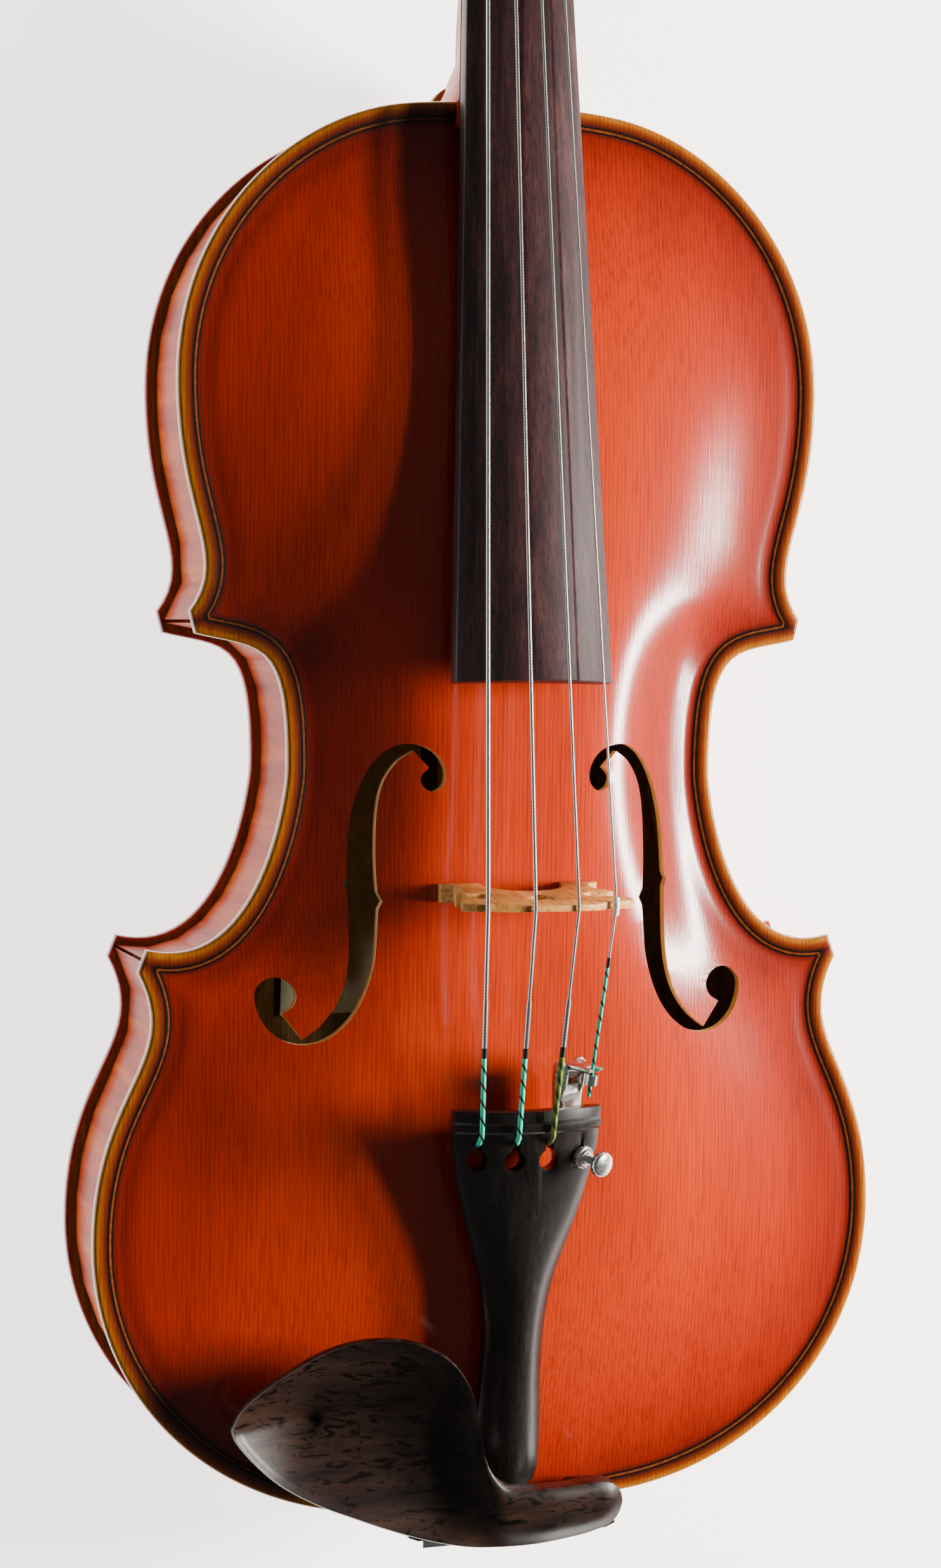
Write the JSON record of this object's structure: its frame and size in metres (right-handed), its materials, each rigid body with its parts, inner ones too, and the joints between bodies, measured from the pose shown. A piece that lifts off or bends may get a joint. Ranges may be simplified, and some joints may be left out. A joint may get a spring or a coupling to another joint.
{
  "type": "viola",
  "caption": "Viola with red-orange varnish, ebony fittings, a chin rest with its clamp and a fine tuner on the A string.",
  "frame": {"origin": "middle of the bounding box's underside, below the centre joint", "axes": "+Y along the centre joint towards the scroll, +X towards the treble side, +Z out of the belly; the instrument lies on its back"},
  "size_m": [0.2432, 0.6979, 0.1079],
  "materials": {
    "varnished_spruce": "gloss",
    "varnished_maple": "gloss",
    "bare_wood": "matte",
    "ebony": "satin",
    "bridge_maple": "satin",
    "paper": "matte",
    "steel_winding": "satin",
    "nickel": "gloss",
    "white_plastic": "satin",
    "black_cord": "matte",
    "cork": "matte"
  },
  "bodies": {
    "body": {"fingerboard": "ebony", "nut": "ebony", "saddle": "ebony", "end_button": "ebony", "tailpiece": "ebony", "chin_rest": "ebony", "top_plate": "varnished_spruce", "back_plate": "varnished_maple", "upper_rib_bass": "varnished_maple", "upper_rib_treble": "varnished_maple", "centre_rib_bass": "varnished_maple", "centre_rib_treble": "varnished_maple", "lower_rib_bass": "varnished_maple", "lower_rib_treble": "varnished_maple", "neck": "varnished_maple", "lining_top_bass": "bare_wood", "lining_top_treble": "bare_wood", "lining_back_bass": "bare_wood", "lining_back_treble": "bare_wood", "corner_block_upper_bass": "bare_wood", "corner_block_upper_treble": "bare_wood", "corner_block_lower_bass": "bare_wood", "corner_block_lower_treble": "bare_wood", "neck_block": "bare_wood", "end_block": "bare_wood", "bass_bar": "bare_wood", "sound_post": "bare_wood", "bridge": "bridge_maple", "label": "paper", "string_c": "steel_winding", "string_g": "steel_winding", "string_d": "steel_winding", "string_a": "steel_winding", "c_string_ball": "nickel", "g_string_ball": "nickel", "d_string_ball": "nickel", "tail_gut_nut_bass": "nickel", "tail_gut_nut_treble": "nickel", "tuner_frame": "nickel", "tuner_pin": "nickel", "tuner_ring_nut": "nickel", "clamp_bracket": "nickel", "a_string_sleeve": "white_plastic", "tail_gut": "black_cord", "chin_rest_cork_bass": "cork", "chin_rest_cork_treble": "cork"},
    "peg_c": {"peg_c": "ebony"},
    "peg_g": {"peg_g": "ebony"},
    "peg_d": {"peg_d": "ebony"},
    "peg_a": {"peg_a": "ebony"},
    "tuner_screw": {"tuner_screw": "nickel"},
    "tuner_head": {"tuner_head": "nickel"},
    "tuner_lever": {"tuner_lever": "nickel", "a_string_ball": "nickel"},
    "clamp_foot": {"clamp_foot": "nickel", "clamp_foot_cork": "cork"},
    "clamp_barrel_bass": {"clamp_barrel_bass": "nickel"},
    "clamp_barrel_treble": {"clamp_barrel_treble": "nickel"}
  },
  "joints": [
    {"name": "peg_c_turn", "type": "hinge", "parent": "body", "child": "peg_c", "pos_m": [0, 0.25135, 0.03889], "axis": [-1, 0, 0], "continuous": true},
    {"name": "peg_g_turn", "type": "hinge", "parent": "body", "child": "peg_g", "pos_m": [0, 0.27855, 0.02878], "axis": [-1, 0, 0], "continuous": true},
    {"name": "peg_d_turn", "type": "hinge", "parent": "body", "child": "peg_d", "pos_m": [0, 0.29215, 0.02372], "axis": [1, 0, 0], "continuous": true},
    {"name": "peg_a_turn", "type": "hinge", "parent": "body", "child": "peg_a", "pos_m": [0, 0.26495, 0.03383], "axis": [1, 0, 0], "continuous": true},
    {"name": "tuner_screw_travel", "type": "slide", "parent": "body", "child": "tuner_screw", "axis": [-0.3935, 0.1319, -0.9098], "range_m": [0, 0.0025]},
    {"name": "tuner_head_turn", "type": "hinge", "parent": "tuner_screw", "child": "tuner_head", "pos_m": [0.0162, -0.22205, 0.08608], "axis": [-0.3935, 0.1319, -0.9098], "range_deg": [0, 1290]},
    {"name": "tuner_lever_tilt", "type": "hinge", "parent": "body", "child": "tuner_lever", "pos_m": [0.01345, -0.19678, 0.08324], "axis": [0.9193, 0.0565, -0.3895], "range_deg": [0, 6]},
    {"name": "clamp_foot_travel", "type": "slide", "parent": "body", "child": "clamp_foot", "axis": [0, 0, -1], "range_m": [0, 0.005]},
    {"name": "clamp_barrel_bass_turn", "type": "hinge", "parent": "body", "child": "clamp_barrel_bass", "pos_m": [-0.019, -0.33995, 0.0365], "axis": [0, 0, 1], "range_deg": [0, 1130]},
    {"name": "clamp_barrel_treble_turn", "type": "hinge", "parent": "body", "child": "clamp_barrel_treble", "pos_m": [0.019, -0.33995, 0.0365], "axis": [0, 0, 1], "range_deg": [0, 1130]}
  ],
  "couplings": [
    {"joint": "tuner_head_turn", "follows": "tuner_screw_travel", "rad_per_m": 8976},
    {"joint": "tuner_lever_tilt", "follows": "tuner_screw_travel", "rad_per_m": 40.65},
    {"joint": "clamp_barrel_bass_turn", "follows": "clamp_foot_travel", "rad_per_m": 3927},
    {"joint": "clamp_barrel_treble_turn", "follows": "clamp_foot_travel", "rad_per_m": 3927}
  ]
}
